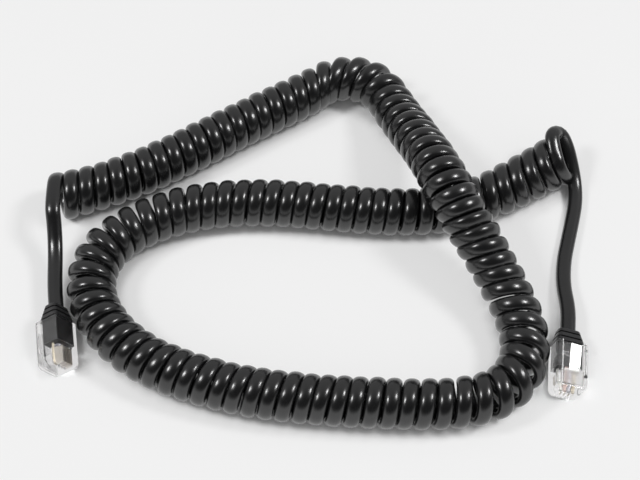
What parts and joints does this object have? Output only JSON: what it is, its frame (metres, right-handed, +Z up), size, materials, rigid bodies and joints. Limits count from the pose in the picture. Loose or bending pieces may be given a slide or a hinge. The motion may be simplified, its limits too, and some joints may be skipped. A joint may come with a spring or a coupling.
{
  "type": "coiled handset cord",
  "caption": "Black curly handset cord lying in a loose loop, with straight tails that end in clear modular plugs with sprung latches and ribbed strain reliefs.",
  "frame": {"origin": "on the table under the middle of the laid-out cord's box", "axes": "+Z up from the table, +X along the longest side of the layout from the left plug to the right plug, +Y away from the viewer, opposite to the way the plugs point"},
  "size_m": [0.1398, 0.1104, 0.0243],
  "materials": {
    "cord_jacket": "glossy flexible PVC",
    "clear_plastic": "clear polycarbonate",
    "relief_plastic": "satin moulded PVC",
    "contact_metal": "gold plated",
    "conductor_white": "satin insulation",
    "conductor_rose": "satin insulation",
    "conductor_grey": "satin insulation",
    "conductor_cream": "satin insulation"
  },
  "bodies": {
    "cord": {"curly_cord": "cord_jacket", "left_tail": "cord_jacket", "right_tail": "cord_jacket", "left_plug_housing": "clear_plastic", "left_plug_strain_relief": "relief_plastic", "left_plug_contact_1": "contact_metal", "left_plug_conductor_1": "conductor_white", "left_plug_contact_2": "contact_metal", "left_plug_conductor_2": "conductor_rose", "left_plug_contact_3": "contact_metal", "left_plug_conductor_3": "conductor_grey", "left_plug_contact_4": "contact_metal", "left_plug_conductor_4": "conductor_cream", "right_plug_housing": "clear_plastic", "right_plug_strain_relief": "relief_plastic", "right_plug_contact_1": "contact_metal", "right_plug_conductor_1": "conductor_white", "right_plug_contact_2": "contact_metal", "right_plug_conductor_2": "conductor_rose", "right_plug_contact_3": "contact_metal", "right_plug_conductor_3": "conductor_grey", "right_plug_contact_4": "contact_metal", "right_plug_conductor_4": "conductor_cream"},
    "left_latch": {"left_plug_latch": "clear_plastic"},
    "right_latch": {"right_plug_latch": "clear_plastic"}
  },
  "joints": [
    {"name": "left_latch_press", "type": "hinge", "parent": "cord", "child": "left_latch", "pos_m": [-0.06543, -0.0386, 0.00329], "axis": [0.5234, 0.0829, -0.848], "range_deg": [0, 9], "stiffness_Nm_per_rad": 0.02},
    {"name": "right_latch_press", "type": "hinge", "parent": "cord", "child": "right_latch", "pos_m": [0.05988, -0.04437, 0.00691], "axis": [-0.9551, 0.1088, 0.2756], "range_deg": [0, 9], "stiffness_Nm_per_rad": 0.02}
  ]
}
